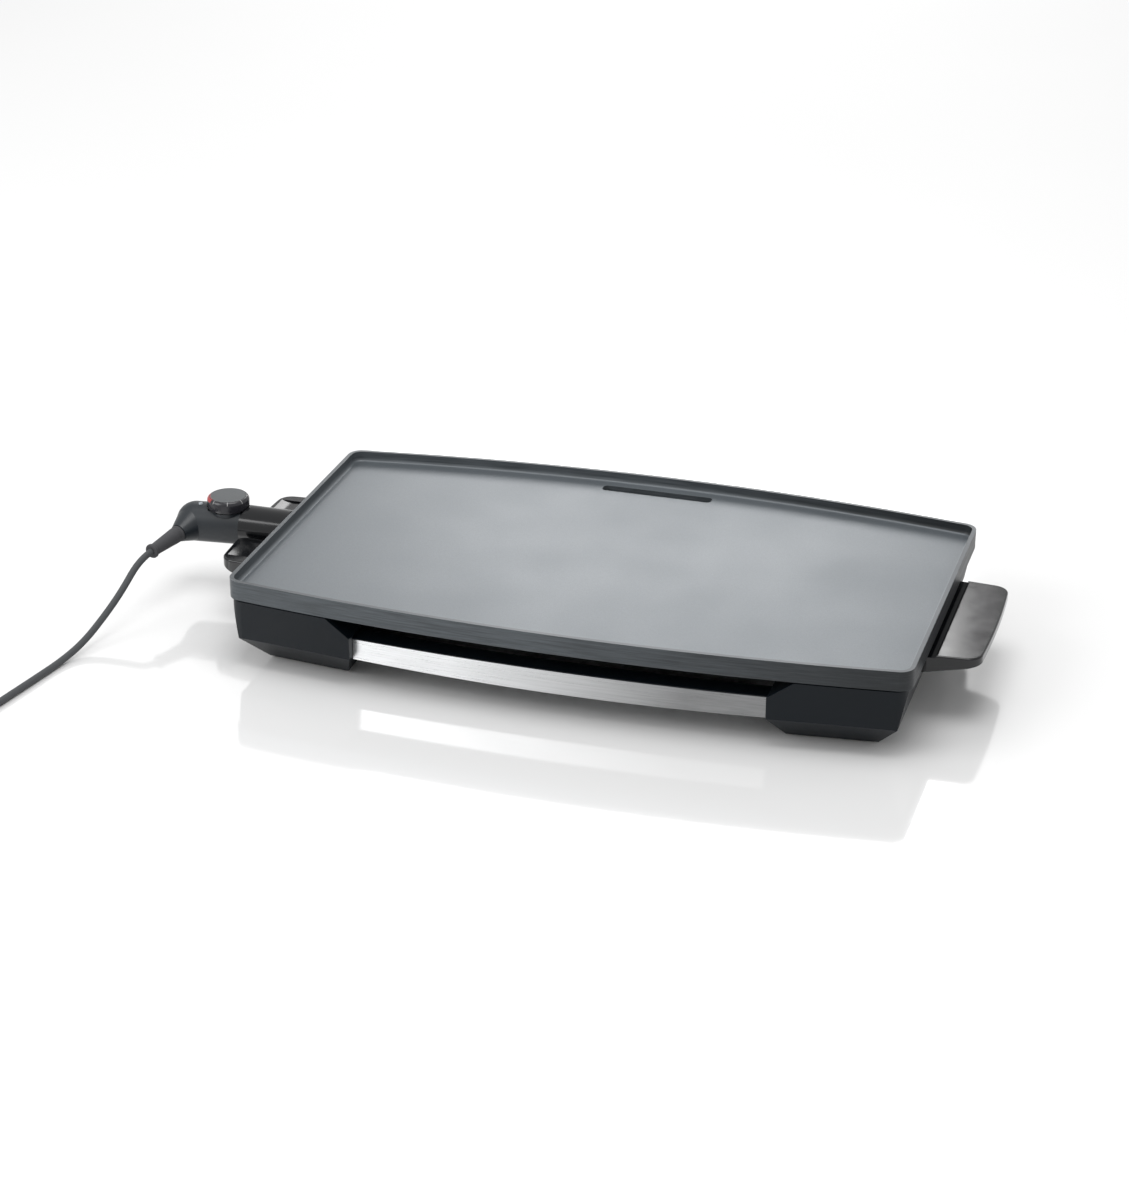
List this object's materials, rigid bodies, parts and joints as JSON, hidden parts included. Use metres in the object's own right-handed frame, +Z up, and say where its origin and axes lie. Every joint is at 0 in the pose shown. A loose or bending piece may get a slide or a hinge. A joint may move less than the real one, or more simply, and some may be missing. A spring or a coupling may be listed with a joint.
{
  "type": "electric griddle",
  "caption": "Table-top electric griddle: bowed non-stick plate with a rim and drain slot, on a dark base with side handles, a brushed front strip and a plug-in thermostat connector.",
  "frame": {"origin": "on the tabletop, under the middle of the cooking plate", "axes": "+Z up, +X to the right along the length of the plate, +Y to the back; the thermostat connector is at -X"},
  "size_m": [0.954, 0.5659, 0.0856],
  "materials": {
    "plate_coating": "satin dark grey non-stick coating on cast aluminium",
    "element_steel": "oxidised steel sheath",
    "pin_steel": "plated steel",
    "ceramic": "white steatite, satin",
    "phenolic": "dark brown heat-resistant moulding",
    "earth_brass": "tinned brass",
    "base_plastic": "blue-black satin moulding",
    "trim_steel": "brushed along its length",
    "shield_sheet": "aluminised sheet",
    "foot_rubber": "matte",
    "screw_steel": "zinc plated",
    "handle_gloss": "high-gloss black moulding",
    "tray_metal": "drawn sheet",
    "guide_steel": "folded sheet",
    "sleeve_gloss": "high-gloss black moulding",
    "shell_matte": "fine-grained dark grey moulding",
    "knob_gloss": "high-gloss black moulding",
    "knob_satin": "satin grey disc",
    "lamp_lens": "translucent red",
    "cord_pvc": "satin black jacket",
    "relief_rubber": "satin black",
    "plug_pvc": "satin black moulding",
    "switch_body": "cream moulding"
  },
  "bodies": {
    "base": {"left_end_housing": "base_plastic", "right_end_housing": "base_plastic", "front_crossbeam": "base_plastic", "rear_crossbeam": "base_plastic", "front_trim_strip": "trim_steel", "heat_shield": "shield_sheet", "rubber_feet": "foot_rubber", "left_handle": "handle_gloss", "right_handle": "handle_gloss", "right_handle_cover": "base_plastic", "handle_screws": "screw_steel", "beam_screws": "screw_steel", "tray_guide": "guide_steel", "guide_screws": "screw_steel"},
    "plate": {"griddle_plate": "plate_coating", "heating_element": "element_steel", "terminal_pins": "pin_steel", "ceramic_bushes": "ceramic", "terminal_block": "phenolic", "earth_blade": "earth_brass"},
    "connector": {"connector_sleeve": "sleeve_gloss", "connector_upper_shell": "shell_matte", "connector_lower_shell": "shell_matte", "contact_block": "phenolic", "contact_tubes": "pin_steel", "probe": "pin_steel", "thermostat_switch": "switch_body", "connector_screws": "screw_steel", "pilot_lamp_lens": "lamp_lens", "strain_relief": "relief_rubber", "cord_tube": "cord_pvc", "cord_tail": "cord_pvc", "cord_coil": "cord_pvc", "plug_body": "plug_pvc", "plug_pins": "pin_steel"},
    "knob": {"temperature_knob": "knob_gloss", "knob_cap": "knob_satin", "knob_shaft": "pin_steel"},
    "tray": {"drip_tray": "tray_metal"}
  },
  "joints": [
    {"name": "plate_lift", "type": "slide", "parent": "base", "child": "plate", "axis": [0, 0, 1], "range_m": [0, 0.06]},
    {"name": "connector_pull", "type": "slide", "parent": "plate", "child": "connector", "axis": [-1, 0, 0], "range_m": [0, 0.14]},
    {"name": "knob_turn", "type": "hinge", "parent": "connector", "child": "knob", "pos_m": [-0.3503, 0, 0.0744], "axis": [0, 0, -1], "range_deg": [0, 270]},
    {"name": "tray_slide", "type": "slide", "parent": "base", "child": "tray", "axis": [0, 1, 0], "range_m": [0, 0.08]}
  ]
}
